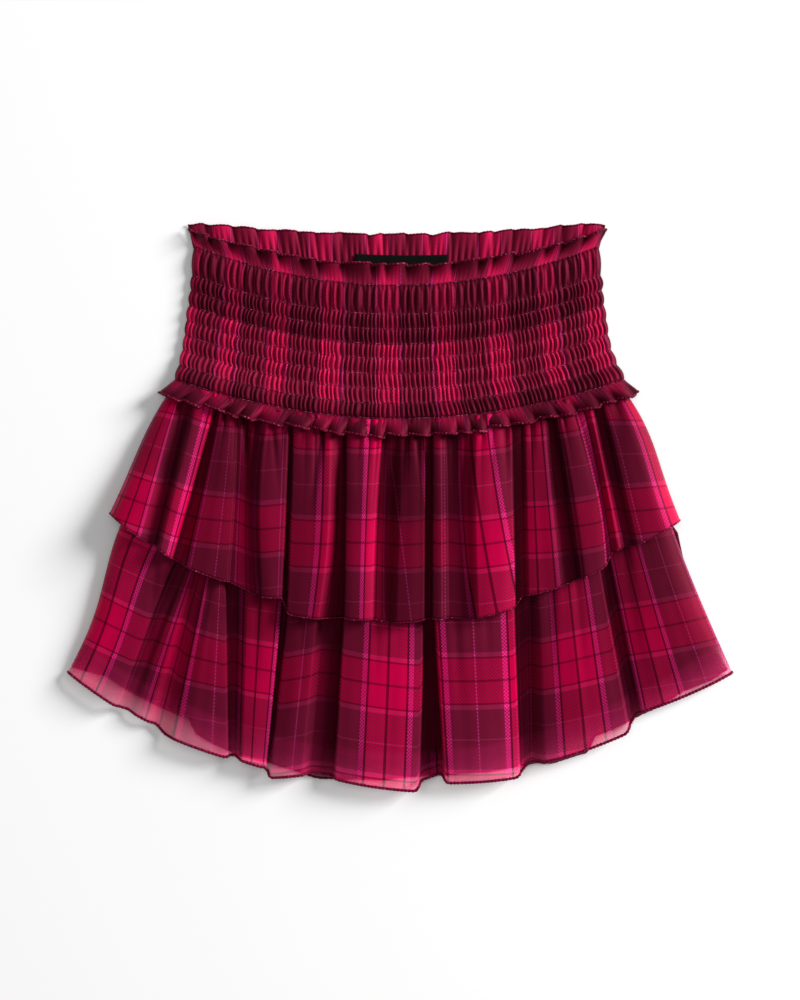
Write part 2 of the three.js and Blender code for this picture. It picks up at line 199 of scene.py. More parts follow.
def plaid_chiffon(name, warp=UP_THE_CLOTH, weft=ACROSS_THE_CLOTH, strength=1.0, alpha=1.0, dotted=0.68):
    """The plaid on the map of the cloth: warp and weft colours in fine dots, painted darker deep in a
    groove as painted shade, and lighter where light is painted on. Where the cloth lies clear of the
    lining, one of its faces covers alpha of what is below, and a painted glow, for light through it, turns
    it pinker. The more the cloth is dotted, the sharper its dots."""
    made, tree, shader = material(name)
    place = node(tree, "ShaderNodeUVMap", uv_map="cloth")
    split = node(tree, "ShaderNodeSeparateXYZ", {0: place.outputs[0]})
    across, up = split.outputs[0], split.outputs[1]
    colours, lights = [], []
    for way, bands in ((across, warp), (up, weft)):
        folded = node(tree, "ShaderNodeMath", {0: way, 1: HALF}, operation="PINGPONG")
        share = node(tree, "ShaderNodeMath", {0: folded.outputs[0], 1: HALF}, operation="DIVIDE")
        ramp = node(tree, "ShaderNodeValToRGB", {0: share.outputs[0]}, colour_bands(bands))
        colours.append(ramp.outputs[0])
        lights.append(ramp.outputs[1])
    light = node(tree, "ShaderNodeMath", {0: lights[0], 1: lights[1]}, operation="MULTIPLY")
    waves = []
    for way in (across, up):
        turn = node(tree, "ShaderNodeMath", {0: way, 1: 2 * np.pi / DOTS}, operation="MULTIPLY")
        waves.append(node(tree, "ShaderNodeMath", {0: turn.outputs[0]}, operation="SINE").outputs[0])
    dots = node(tree, "ShaderNodeMath", {0: waves[0], 1: waves[1]}, operation="MULTIPLY")
    sharpened = {0: dots.outputs[0], 1: dotted, 2: 0.5}
    share = node(tree, "ShaderNodeMath", sharpened, operation="MULTIPLY_ADD", use_clamp=True)
    threads = {0: share.outputs[0], 6: colours[0], 7: colours[1]}
    woven = node(tree, "ShaderNodeMix", threads, data_type="RGBA")
    ground = woven.outputs[2]
    if alpha < 1:
        # Painted light: where the cloth lies clear, light through it is painted on as a mix towards pink.
        clear = node(tree, "ShaderNodeAttribute", attribute_name="clear").outputs["Fac"]
        glow = node(tree, "ShaderNodeMath", {0: clear, 1: GLOW}, operation="MULTIPLY")
        pinker = {0: glow.outputs[0], 6: ground, 7: linear("#cc2a68")}
        lit = node(tree, "ShaderNodeMix", pinker, data_type="RGBA")
        ground = lit.outputs[2]
        covering = {0: clear, 1: alpha - 1, 2: 1.0}
        cover = node(tree, "ShaderNodeMath", covering, operation="MULTIPLY_ADD")
        tree.links.new(cover.outputs[0], shader.inputs["Alpha"])
    spot = node(tree, "ShaderNodeTexCoord").outputs["Object"]
    cloud = node(tree, "ShaderNodeTexNoise", {"Vector": spot, "Scale": CLOUDS, "Detail": 3.0})
    tenth = {0: cloud.outputs[0], 1: 0.3, 2: 0.7, 3: 0.9 * strength, 4: 1.1 * strength}
    shade = node(tree, "ShaderNodeMapRange", tenth)
    dyed = {0: ground, "Scale": shade.outputs[0]}
    tinted = node(tree, "ShaderNodeVectorMath", dyed, operation="SCALE")
    crepe = node(tree, "ShaderNodeTexNoise", {"Vector": spot, "Scale": CREPE, "Detail": 2.0})
    bumps = {"Height": crepe.outputs[0], "Strength": 0.25, "Distance": CREPE_HEIGHT}
    relief = node(tree, "ShaderNodeBump", bumps)
    # Painted shade and light: the colour is scaled by one less the point's painted shade, darker in grooves
    # and lighter where that is below 0.
    depth = node(tree, "ShaderNodeAttribute", attribute_name="painted_shading").outputs["Fac"]
    painted_light_share = node(tree, "ShaderNodeMath", {0: 1.0, 1: depth}, operation="SUBTRACT")
    seen = {0: painted_light_share.outputs[0], 1: light.outputs[0]}
    darker = node(tree, "ShaderNodeMath", seen, operation="MULTIPLY")
    painted_shading_scale = {0: tinted.outputs[0], "Scale": darker.outputs[0]}
    painted_shading_colour = node(tree, "ShaderNodeVectorMath", painted_shading_scale, operation="SCALE")
    tree.links.new(painted_shading_colour.outputs[0], shader.inputs["Base Color"])
    tree.links.new(relief.outputs[0], shader.inputs["Normal"])
    shader.inputs["Roughness"].default_value = 0.55
    shader.inputs["Specular IOR Level"].default_value = 0.4
    shader.inputs["Specular Tint"].default_value = linear("#ff2866")
    shader.inputs["Sheen Weight"].default_value = 0.03
    shader.inputs["Sheen Roughness"].default_value = 0.4
    shader.inputs["Sheen Tint"].default_value = linear("#ff4078")
    return made


# Over the lining the chiffon looks dense. Below the hem of the lining it is sheer, and the pale table
# lights it from behind, which is painted on as a pinker glow. A face covers 0.36 there, so the two faces of
# a ply let four tenths through.
plaid = plaid_chiffon("plaid crepe chiffon, over lining")
sheer = plaid_chiffon("plaid crepe chiffon, single", strength=1.12, alpha=0.36)


# The back of the yoke
# One strip of the same chiffon, gathered on rows of elastic thread, with an overlocked edge. It lies face
# down on the table, so its inside shows above the front: a frill 20 mm deep, with gathers below it,
# darkened by painted shade.
# Its threads lie on the table, out of sight, and are left out.
def smooth(v):
    """0 below 0, 1 above 1, and an even ease between."""
    t = np.clip(v, 0.0, 1.0)
    return t * t * (3 - 2 * t)


def bowed(y, rise, half, x, centre=0.0):
    """A sewing line: y in the middle, and rise higher at half to either side, as a parabola."""
    return y + rise * ((x - centre) / half) ** 2


def grid_object(name, x, y, z, finish, u, v, painted_shading=None, clear=None):
    """An object on a grid, rows from waist to hem and columns from left to right. All is in mm."""
    rows, columns = x.shape
    verts = np.stack([x, y, z], axis=-1).reshape(-1, 3) / 1000
    uv = np.stack([u, v], axis=-1).reshape(-1, 2) / 1000
    first = (np.arange(rows - 1)[:, None] * columns + np.arange(columns - 1)[None, :]).ravel()
    faces = np.stack([first, first + columns, first + columns + 1, first + 1], axis=-1)
    painted_shading, clear = (None if value is None else np.ravel(value + 0 * x) for value in (painted_shading, clear))
    return mesh_object(name, verts, faces.tolist(), finish, uv, painted_shading, clear)


def ply(piece, thickness):
    """Gives a sheet its thickness, in mm, below it."""
    shell = piece.modifiers.new("thickness", "SOLIDIFY")
    shell.thickness = thickness / 1000
    shell.offset = -1.0
    return piece


def wander(x, pace, seed):
    """An uneven wave between about -1 and 1: three sines whose paces have no common measure."""
    return (
        np.sin(pace * x + seed)
        + 0.6 * np.sin(1.618 * pace * x + 2.3 * seed + 1.0)
        + 0.4 * np.sin(2.718 * pace * x + 3.1 * seed + 2.0)
    ) / 2.0


WRAP = 2.6  # mm from swell to swell of the wrapped thread
WRAP_SWELL = 0.22  # of its radius


def edge_tube(name, x, y, z, radius, finish, sides=6):
    """A thread of that radius along a line of points, in mm: rings square to the line, with ends. Its
    radius swells and shrinks along it as a sine."""
    path = np.stack([x, y, z], axis=-1)
    along = np.gradient(path, axis=0)
    along /= np.linalg.norm(along, axis=1, keepdims=True)
    across = np.cross(along, [0.0, 0.0, 1.0])
    across /= np.linalg.norm(across, axis=1, keepdims=True)
    normal = np.cross(across, along)
    angle = np.arange(sides) * 2 * np.pi / sides
    length = np.concatenate([[0], np.cumsum(np.linalg.norm(np.diff(path, axis=0), axis=1))])
    wrapped = radius * (1 + WRAP_SWELL * np.sin(2 * np.pi * length / WRAP))
    cos, sin = np.cos(angle)[None, :, None], np.sin(angle)[None, :, None]
    ring = across[:, None] * cos + normal[:, None] * sin
    verts = (path[:, None] + wrapped[:, None, None] * ring).reshape(-1, 3) / 1000
    first = np.arange(len(path) - 1)[:, None] * sides
    here = first + np.arange(sides)
    there = first + (np.arange(sides) + 1) % sides
    faces = np.stack([here, here + sides, there + sides, there], axis=-1).reshape(-1, 4).tolist()
    last = (len(path) - 1) * sides
    ends = [list(range(sides)), [last + i for i in reversed(range(sides))]]
    return mesh_object(name, verts, faces + ends, finish)


def overlock(name, base, glint_colour, fine=800.0, few=0.6):
    """Polyester thread, spun and dyed, wrapped densely round an edge: a soft gloss, with a few paler loops,
    painted glints where they catch the light. There are fine loops to a metre, and more of them are dark
    the higher few is."""
    made, tree, shader = material(name)
    spot = node(tree, "ShaderNodeTexCoord").outputs["Object"]
    loops = node(tree, "ShaderNodeTexNoise", {"Vector": spot, "Scale": fine, "Detail": 1.0})
    dark, painted_glint = linear(base), linear(glint_colour)
    stops = [(0.0, dark), (few, dark), (few + 0.1, painted_glint), (1.0, painted_glint)]
    colour = node(tree, "ShaderNodeValToRGB", {0: loops.outputs[0]}, stops)
    tree.links.new(colour.outputs[0], shader.inputs["Base Color"])
    shader.inputs["Roughness"].default_value = 0.6
    shader.inputs["Specular IOR Level"].default_value = 0.3
    shader.inputs["Specular Tint"].default_value = linear("#ff4a7c")
    return made


wine_thread = overlock("wine overlock thread", "#62052a", "#8c2c4c")
glinting_thread = overlock("wine overlock thread, speckled", "#560722", "#a84062")

# In mm up from the middle of the skirt: the first row of elastic in the middle of the yoke, the deep band
# below it, and each of the seven others below that
YOKE_TOP = 154.4
FIRST_BAND = 20.4
BAND = 10.45
ROWS = 9
YOKE_FOOT = YOKE_TOP - FIRST_BAND - BAND * (ROWS - 2)
YOKE_CENTRE = -2.5
ROW_SAG = 27.5  # how far the middle of a row hangs below its ends
YOKE_CHECK = 92.2  # height of the middle of a crimson block on the yoke
# Gathered up, the cloth hides its thin lines, and its stripes are dull and narrow.
UP_THE_YOKE = [
    (0.0150, "#c2164a", 1.0),
    (0.0160, "#9c0034", 0.5),
    (0.0184, "#b02a70", 0.85),
    (0.0410, "#561426", 1.0),
]
ACROSS_THE_YOKE = [(0.0202, "#7a0a2c", 1.0), (0.0410, "#721230", 0.42)]
smock = plaid_chiffon(
    "plaid crepe chiffon, smocked", UP_THE_YOKE, ACROSS_THE_YOKE, strength=1.4, dotted=0.4
)
smock.node_tree.nodes["Principled BSDF"].inputs["Sheen Weight"].default_value = 0.12
# Where the middle of each crimson block comes, gathered, in mm across the yoke
BLOCKS_AT = np.array([-148.0, -118.0, -84.0, -46.5, -6.0, 34.0, 72.5, 109.0, 139.0, 168.0])


def gathered_cloth(x):
    """Place across the cloth, in mm, of a place across the gathered yoke."""
    return np.interp(x, BLOCKS_AT, np.arange(len(BLOCKS_AT)) * REPEAT * 1000)


def hump(turns, lean):
    """A row of humps, one a turn, with sharp grooves between them, whose crests lean over by a power."""
    return np.sin(np.pi * np.mod(turns, 1.0) ** lean)


def swing(turns):
    """A saw-toothed wave with rounded teeth, one a turn, between about -0.5 and 0.5: a sine, with two lower
    ones that are twice and three times as quick."""
    turn = np.pi * turns
    return -(np.sin(2 * turn) + np.sin(4 * turn) / 2 + np.sin(6 * turn) / 6) / np.pi


def each(turns, seed):
    """A number between -1 and 1 that differs from hump to hump: a sine times a cosine of the hump's number,
    each with a pace of its own."""
    return np.sin(2.4 * np.floor(turns) + seed) * np.cos(5.1 * np.floor(turns) - 1.7 * seed)


BACK_FLUTES = 19
BACK_FLUTE_HEIGHT = 2.6
BACK_GATHERS = 64
BACK_GATHER_HEIGHT = 1.1
BACK_CORNER = 2.2  # how far the two ends of the frill droop
UNDER = 0.6  # the cloth that lies on the table is this thick
# Four lines across the back, from its edge (0) and the foot of its frill (1) to its own foot (3): their
# heights in the middle, how far they hang below their ends, and half their widths
back_rows = np.concatenate([np.linspace(0, 1, 12), np.linspace(1, 2, 8)[1:], np.linspace(2, 3, 26)[1:]])
lines = np.arange(4)
row_y = np.interp(back_rows, lines, [190.1, 171.0, 128.0, 62.0])[:, None]
row_sag = np.interp(back_rows, lines, [8.8, 6.0, 9.0, 15.4])[:, None]
row_half = np.interp(back_rows, lines, [146.5, 141.5, 142.5, 158.0])[:, None]
share = np.linspace(-1, 1, 420)[None, :]
x = YOKE_CENTRE + share * row_half
y = row_y + row_sag * share**2
frill = smooth(1 - back_rows)[:, None]
flutes = BACK_FLUTES / 2 * (share + 1) + 0.3 * wander(share, 13.0, 0.7)
flute = hump(flutes, 1.4) ** 0.6 * (0.9 + 0.3 * each(flutes, 1.9))
gather = hump(BACK_GATHERS / 2 * (share + 1) + 0.5 * wander(share, 17.0, 2.1), 1.2)
near_frill = smooth(1.15 - np.abs(back_rows - 1.0))[:, None]
z = UNDER + frill * BACK_FLUTE_HEIGHT * flute + BACK_GATHER_HEIGHT * gather * near_frill
y = y + frill * (0.9 * wander(share, 24.0, 1.2) + 0.9 * swing(flutes))
y = y - frill * BACK_CORNER * smooth((np.abs(share) - 0.93) / 0.07)
# Painted shade: a little all over, more in the valleys of the flutes on the frill and between the gathers
# below it.
painted_shading = 0.1 + frill * 0.8 * (1 - flute) ** 2 + (1 - frill) * 0.6 * (1 - gather)
yoke_back = grid_object(
    "cloth_yoke_back", x, y, z, smock, gathered_cloth(x) + 20, row_y + 0 * x - YOKE_CHECK, painted_shading
)
ply(yoke_back, UNDER)
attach(yoke_back, "root")
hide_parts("yoke_back")
back_edge = edge_tube("edge_yoke_back", x[0], y[0] + 0.2, z[0], 0.55, wine_thread)
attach(back_edge, "root")

# The woven tab
# A blank tab of black polyester tape, closely woven and matt, folded and sewn in under the back frill.
# The front frill covers its lower half.
tab_cloth, tree, shader = material("black woven tab")
shader.inputs["Base Color"].default_value = linear("#080807")
shader.inputs["Roughness"].default_value = 0.9
shader.inputs["Specular IOR Level"].default_value = 0.1
TAB_LEFT, TAB_RIGHT = 0.007, 0.005  # metres that its ends lie to the left of its solid's
TAB_SAG = 2.6
tab_low, tab_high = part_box("inner_tab")
across = np.linspace(tab_low.x - TAB_LEFT, tab_high.x - TAB_RIGHT, 60)[None, :] * 1000
down = np.linspace(tab_high.y, tab_low.y, 20)[:, None] * 1000
x = across + 0 * down
y = down + TAB_SAG * ((across - 7) / 60) ** 2
z = tab_high.z * 1000 + 0.2 * wander(x, 0.2, 1.0) + 0.25
tab = ply(grid_object("cloth_tab", x, y, z, tab_cloth, x, y), 0.5)
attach(tab, "root")
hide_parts("inner_tab")

# The slip lining
# Two A-line panels of dark polyester satin, front and back, sewn in with the upper tier, with the dull side
# of the satin out. Their hem ends above the hem of the sheer tier, and shows through it as a soft edge.
lining_cloth, tree, shader = material("dark wine satin lining")
shader.inputs["Base Color"].default_value = linear("#3c0818")
shader.inputs["Roughness"].default_value = 0.5
shader.inputs["Sheen Weight"].default_value = 0.1
# Sewing lines: y is their height at their centre, and they lie higher by rise at half to either side of it.
LOWER_SEAM = {"y": -50.0, "rise": 66.0, "half": 181.0, "centre": -3.0}
UPPER_HEM = {"y": -80.9, "rise": 74.7, "half": 200.0, "centre": -3.5}
LOWER_HEM = {"y": -196.4, "rise": 81.2, "half": 233.0, "centre": 0.0}
LINING_HEM = {"y": -172.5, "rise": 63.0, "half": 203.0, "centre": 0.0}


def line(seam, x):
    """Height of a sewing line at x."""
    return bowed(seam["y"], seam["rise"], seam["half"], x, seam["centre"])


def lining_panel(name, top_y, top_rise, lift):
    """A panel from its seam to its hem, over the seams of the tiers, which lie under it. Between six lines
    across it, its width and height change evenly."""
    lines = np.arange(6)
    rows = np.linspace(0, 5, 31)[:, None]
    share = np.linspace(-1, 1, 120)[None, :]
    x = share * np.interp(rows, lines, [140, 156, 161, 165, 172, 188])
    level = np.interp(rows, lines, [3.1, 3.1, 5.5, 5.5, 2.8, 2.8]) + lift
    heights = [
        bowed(top_y, top_rise, 158, x),
        line(LOWER_SEAM, x) + 24,
        line(LOWER_SEAM, x) + 5,
        line(UPPER_HEM, x) - 6,
        line(UPPER_HEM, x) - 27,
        line(LINING_HEM, x),
    ]
    y = sum(np.clip(1 - np.abs(rows - i), 0, 1) * height for i, height in enumerate(heights))
    z = level + 0.9 + 0.15 * wander(x, 0.05, 1.3) + 0 * y
    return ply(grid_object(name, x, y, z, lining_cloth, x, y), 0.6)


for side, top_y, top_rise, lift in (
    ("front", YOKE_FOOT - 1, ROW_SAG, 1.3),
    ("back", 72.2, 13.2, 0.0),
):
    panel = lining_panel("cloth_lining_" + side, top_y, top_rise, lift)
    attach(panel, "root")
    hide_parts("lining_" + side)

# The back tiers
# The same two gathered strips as on the front, pressed flat by the weight of the skirt, with low creases
# that stand up off the table. The hem of the lower one shows through the front and peeks out below it.

# Where the creases run, from -1 at one side of a tier to 1 at the other
CREASES = np.array([-0.86, -0.64, -0.43, -0.24, -0.03, 0.17, 0.4, 0.62, 0.83])
CREASE_HEIGHT = 1.2
CREASE_WIDTH = 2.2
FULLNESS = 1.5  # width of the cloth for each mm across the pressed tier
# Painted shade on the sides of the back tiers, where they lie under the front.
SIDE_SHADE = 0.75  # how dark its sides are, under the front's
# How far the back hem lies above the line of the front one, at places from left to right
BACK_HEM = [
    (-233, 3), (-222, 7), (-206, 14), (-192, 12), (-148, 14), (-143, 6), (-131, 4), (-112, 2),
    (-90, 4), (-60, 0.5), (20, 7), (95, 2.5), (108, -1), (131, -2.5), (137, 7), (154, 6.5),
    (200, 7), (218, 3), (233, 3),
]


def pressed_tier(name, halves, centres, waist, lifts, heights, finish, check):
    """A flat strip through four sewing lines, with a ridge like a bell along each crease. Its sides curve
    in above the hem, by waist of its width, and check is the height of the middle of a crimson block."""
    lines = np.arange(4)
    rows = np.linspace(0, 3, 37)[:, None]
    share = np.linspace(-1, 1, 300)[None, :]
    half = np.interp(rows, lines, halves) * (1 - waist * np.sin(np.pi * np.clip(rows - 2, 0, 1)))
    x = np.interp(rows, lines, centres) + share * half
    y = sum(np.clip(1 - np.abs(rows - i), 0, 1) * height(x) for i, height in enumerate(heights))
    aside = (share[..., None] - CREASES) * halves[-1]
    near = np.exp(-((aside / CREASE_WIDTH) ** 2)).sum(axis=-1)
    z = np.interp(rows, lines, lifts) + CREASE_HEIGHT * near * smooth(rows / 1.5) + UNDER
    # Painted shade on its sides, under the front's.
    shaded = SIDE_SHADE * smooth((np.abs(share) - 0.94) / 0.03)
    clear = clear_of_lining(x, y)
    return grid_object(name, x, y, z, finish, x * FULLNESS, y - check, shaded, clear), x, y, z


def clear_of_lining(x, y):
    """0 above the hem of the lining, a half just below it, and 1 from 22 mm below it."""
    below = line(LINING_HEM, x) - y
    return smooth(below / 6 + 0.5) * (0.5 + 0.5 * smooth(below / 22))


def hem_of_back(x):
    """The back hem: the line of the front hem, raised as the skirt lies."""
    return line(LOWER_HEM, x) + np.interp(x, *np.transpose(BACK_HEM)) + 0.5 * wander(x, 0.16, 0.4)


upper_back, x, y, z = pressed_tier(
    "cloth_upper_tier_back",
    halves=[156.5, 162, 166, 197],
    centres=[-2.5, -2.5, -2.5, -4.5],
    waist=0.006,
    lifts=[1.6, 1.6, 0, 0],
    heights=[
        lambda x: bowed(73.2, 13.2, 158, x),
        lambda x: bowed(60, 13, 160, x),
        lambda x: bowed(50, 15, 162, x),
        lambda x: line(UPPER_HEM, x) + 2,
    ],
    finish=plaid,
    check=-20.0,
)
upper_back_edge = edge_tube("edge_upper_tier_back", x[-1], y[-1], z[-1], 0.5, wine_thread)
lower_back, x, y, z = pressed_tier(
    "cloth_lower_tier_back",
    halves=[178, 192, 197, 230],
    centres=[-2.5, -2, -1.8, 0],
    waist=0.023,
    lifts=[2.8, 2.8, 0, 0],
    heights=[
        lambda x: line(LOWER_SEAM, x),
        lambda x: line(UPPER_HEM, x) - 1,
        lambda x: line(UPPER_HEM, x) - 12,
        hem_of_back,
    ],
    finish=sheer,
    check=-124.0,
)
lower_back_edge = edge_tube("edge_lower_tier_back", x[-1], y[-1], z[-1], 0.85, wine_thread)
for piece, trim, place, slot, flat, area in (
    (upper_back, upper_back_edge, "upper_tier_back", "plaid_cloth", (0.40, 0.165), 0.056),
    (lower_back, lower_back_edge, "lower_tier_back", "sheer_cloth", (0.466, 0.150), 0.062),
):
    ply(piece, 0.5)
    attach(piece, "root")
    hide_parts(place)
    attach(trim, "root")

# The front tiers
# Each is a strip gathered onto the piece above and hemmed with an overlocked edge. It hangs in folds:
# some stand with a crisp side, some roll softly. Small gathers fan out below the seam and fade.

# A row is a fold, in mm: where its left and right sides lie at the seam and at the hem, the height of its
# crown, the widths of its flanks, how far its hem drops at either side, and the stretch of cloth on it at
# the seam and at the hem. In the groove between two folds the cloth doubles back.
FOLD = "seam_l seam_r hem_l hem_r rise left right drop_l drop_r top_l top_r cloth_l cloth_r".split()
UPPER_FOLDS = [
    (-156.5, -150, -203.7, -173.6, 5.0, 0, 10, -1, 1.5, -22, 34, -22, 34),
    (-146.8, -127.2, -171.5, -158.2, 8.5, 5, 1.4, -1, 2, 44, 70, 44, 70),
    (-125.4, -114.2, -154.0, -119.2, 7.5, 8, 1.4, 2, -2, 92, 135, 92, 135),
    (-93.6, -77.6, -99.6, -81.6, 7.5, 4, 1.4, 0, -5, 182, 210, 182, 210),
    (-75.2, -42.7, -79.4, -51.3, 8.5, 1.4, 6, 5.5, 3, 205, 243, 205, 243),
    (-38.6, -10.9, -39.4, -18.4, 9.0, 1.4, 1.4, 0.5, -0.5, 208, 241, 208, 241),
    (-4.8, 18.3, -11.2, 17.5, 8.0, 9, 1.4, 1, 0, 293, 316, 265, 298),
    (22.5, 32.9, 22.0, 34.2, 8.0, 1.4, 6, 0, 1, 276, 290, 276, 290),
    (49.0, 78.1, 48.8, 80.7, 9.0, 6, 1.4, 4, 3.5, 328, 369, 308, 342),
    (85.5, 102.5, 85.5, 117.2, 3.0, 5, 8, -2.5, 1.5, 396, 437, 396, 437),
    (105.9, 120.3, 122.8, 144.2, 9.0, 6, 1.4, 1.8, 1.7, 446, 473, 446, 473),
    (126.4, 133.5, 148.0, 156.5, 2.5, 4, 4, -5, -4, 476, 514, 476, 514),
    (137.2, 153.0, 160.5, 196.5, 7.0, 5, 0, -1, 4, 523, 567, 523, 567),
]
LOWER_FOLDS = [
    (-182.0, -140.0, -233.0, -197.4, 6.0, 0, 1.4, 1.5, 3.5, -13, 39, -13, 39),
    (-136.5, -131.8, -191.0, -171.0, 2.5, 6, 6, 1.5, 1.5, 48, 77, 48, 77),
    (-129.5, -122.0, -164.5, -119.6, 7.5, 7, 1.8, 4.8, 2, 93, 134, 93, 134),
    (-114.3, -79.1, -116.2, -93.1, 8.0, 6, 1.4, 0.5, 0.5, 140, 185, 140, 185),
    (-75.0, -50.9, -92.4, -63.0, 8.0, 1.8, 6, 7, -2.5, 186, 220, 186, 220),
    (-38.1, 15.5, -46.9, 13.8, 9.0, 1.8, 1.4, -2.0, 3.8, 207, 274, 207, 274),
    (21.5, 78.7, 30.2, 84.4, 9.0, 1.8, 1.4, -1, 4.2, 258, 318, 258, 318),
    (88.9, 134.0, 90.5, 161.0, 8.0, 12, 1.8, -1.5, 0.8, 285, 362, 285, 362),
    (139.0, 180.5, 165.9, 233.0, 6.5, 4, 0, -9.5, 2.0, 386, 474, 386, 474),
]
# A row is a side of a fold, left and right in turn: the painted shade of the fold and then of the groove
# beside it, at the seam and at the hem (painted light below 0), how far the side bows and sways from a
# straight line, and how far the hem is lifted in the groove.
SIDES = "fold_top fold_hem groove_top groove_hem bow sway lift".split()
UPPER_SIDES = [
    (0.0, -0.2, 0.3, 0.2, -3.2, -0.8, 1), (0.3, 0.2, 0.6, 0.45, 0, 0, 1),
    (0.15, 0.1, 0.75, 0.75, 0, 0, 1), (-0.25, -0.6, 0.97, 0.9, 0.4, 0, 1),
    (0.5, 0.42, 0.8, 0.55, 0, 0, 1), (0.5, 0.38, 0.6, 0.5, 1.5, 0, 1),
    (-0.3, 0.35, 0.95, 0.65, -6.5, 0, 1), (0.5, 0.3, 0.9, 0.95, 1.0, 0, 1),
    (0.3, 0.4, 0.95, 0.97, 0.3, 0, 1), (0.4, 0.35, 0.8, 0.9, 4.5, -1, 1),
    (0.3, 0.4, 0.95, 1.0, 0.5, 0, 1), (-0.15, -0.3, 0.97, 0.35, -1.5, 0, 1),
    (0.5, 0.4, 0.8, 0.3, 0, 0, 1), (0.85, 0.55, 0.8, 1.0, 0, 0, 1),
    (0.4, 0.3, 0.9, 1.0, 0, 0, 1), (0.2, 0.3, 0.9, 0.4, 0.3, 0, 1),
    (-0.1, 0.1, 0.6, 0.4, -2.0, 0, 1), (0.1, -0.3, 0.9, 1.0, 0, 0, 1),
    (0.4, 0.4, 0.9, 0.8, 0, 0, 1), (0.45, 0.55, 0.7, 0.5, 0, 0, 1),
    (0.35, 0.35, 0.95, 0.9, 0, 0, 1), (0.4, 0.1, 0.5, 0.7, 4.5, -1, 1),
    (-0.1, 0.3, 0.2, 0.4, 2.0, 0, 1), (0.4, 0.3, 0.95, 0.4, 0.5, 0, 1),
    (0.65, 0.45, 0.95, 0.6, 0.5, 0, 1), (0.15, -0.4, 0.3, 0.2, 5.0, 1.2, 1),
]
LOWER_SIDES = [
    (-0.3, -0.15, 0.3, 0.1, 0, -3, 0), (0.1, 0.25, 0.9, 0.6, -4, -1, 0.8),
    (0.3, 0.45, 0.6, 0.4, -2, 0, 0.8), (0.3, 0.5, 0.5, 0.3, -1, 0, 1.2),
    (0.2, 0.3, 0.5, 0.3, 0, 0, 0), (0.2, 0.3, 0.9, 0.4, 0, 0, 2),
    (0.5, 0.35, 0.8, 0.3, 0, 0, 2), (0.3, 0.15, 0.95, 0.9, 0, 0, 1.5),
    (0.35, 0.4, 0.9, 0.8, 0, 0, 0), (0.3, 0.25, 0.5, 0.5, 0, 0, 1),
    (0.1, 0, 0.97, 0.95, 0, 0, 2), (0.1, -0.05, 1, 0.95, 1.4, 0, 7),
    (0.15, 0, 1, 0.95, 0, 0, 7), (0, -0.35, 1, 0.9, 0, 0, 3),
    (0.35, 0.35, 0.8, 0.6, 0, 0, 3), (0.3, 0.15, 0.7, 0.6, 0, 0, 5),
    (0.6, 0.4, 0.6, 0.5, 0, 0, 0), (0.6, 0.2, 0.3, 0.1, -3, 0, 0),
]
# Creases that fan out from the seam: where each starts, how far it leans and how far down it reaches, as
# a share of the tier, its width, its depth and how much darker it is painted, as painted shade (lighter
# below 0)
CREASE = "at lean reach width depth dark".split()
UPPER_CREASES = [
    (-144, -9, 0.5, 1.6, 1.0, 0.35),
    (-122, -1, 0.24, 1.5, 1.2, 0.6),
    (-110, 5, 0.55, 2.6, 1.4, 0.4),
    (-90, 6, 0.5, 2.0, 1.4, 0.6),
    (-67, -3, 0.22, 1.4, 0.9, 0.35),
    (-53, -11, 0.6, 2.6, 1.8, 0.7),
    (-37, 0, 0.24, 1.8, 0.9, 0.3),
    (-22, -9, 0.3, 1.2, -0.8, -0.3),
    (4.5, -4, 0.45, 2.4, 1.6, 0.5),
    (11, 3, 0.35, 1.8, 1.2, 0.4),
    (37, 1, 0.6, 2.6, 1.0, 0.3),
    (57, 2, 0.2, 1.5, 1.0, 0.4),
    (72, 4, 0.42, 3.2, 1.2, 0.4),
    (93, 0, 0.34, 1.8, 1.0, 0.4),
    (103, 4, 0.4, 1.8, 1.2, 0.5),
    (113, 3, 0.24, 1.5, 1.0, 0.35),
    (149, 10, 0.55, 4.0, 1.2, 0.25),
]
LOWER_CREASES = [
    (-166, -12, 0.8, 2.6, 1.2, 0.25),
    (-126, -18, 0.7, 2.4, 1.2, 0.4),
    (-98, -3, 0.75, 3.0, 1.2, 0.25),
    (-66, -4, 0.7, 3.0, 1.4, 0.3),
    (-14, -4, 0.6, 3.4, 1.0, 0.2),
    (38, 4, 0.75, 3.0, 1.2, 0.3),
    (60, 3, 0.6, 3.0, 1.0, 0.25),
    (104, 4, 0.8, 3.6, 1.5, 0.4),
    (121, 9, 0.75, 3.0, 1.0, 0.25),
    (152, 20, 0.85, 4.0, 1.4, 0.35),
]
# The height of the grooves and that of the side edges, at shares of the way from the seam to the hem
FLOORS = "at floor side".split()
UPPER_FLOOR = [
    (0, 7.3, 3.8), (0.12, 7.4, 3.7), (0.3, 8.2, 2.1), (0.52, 9.6, 2.1), (0.75, 13.4, 2.1), (1, 16.4, 2.1),
]
LOWER_FLOOR = [
    (0, 9.2, 4.9), (0.25, 9.2, 4.9), (0.4, 6.5, 2.3), (0.86, 6.2, 2.1), (0.96, 3.8, 2.1), (1, 3.7, 2.1),
]
SIDE_ROLL = 36  # power by which the cloth falls to its side edges: the higher, the later
CROWN_FALL = 0.25  # share of its rise by which a crown is lower at its sides
CRISP = 3.5  # flanks no wider than this are crisp
WIDEST_FLANK = 0.45  # of the width of the fold
NO_FLANK = 0.12  # where a fold has none, its edge has finer columns over this share
COLUMN = 0.85  # mm from column to column on a fold
GROOVE_COLUMN = 0.9
FOLD_REACH = 0.42  # share of the tier over which the folds open to their height
PLEAT_REACH = 0.16  # share of the tier over which the small gathers fade
PLEAT_PACE = 0.42  # radians of a small gather to a mm of the seam
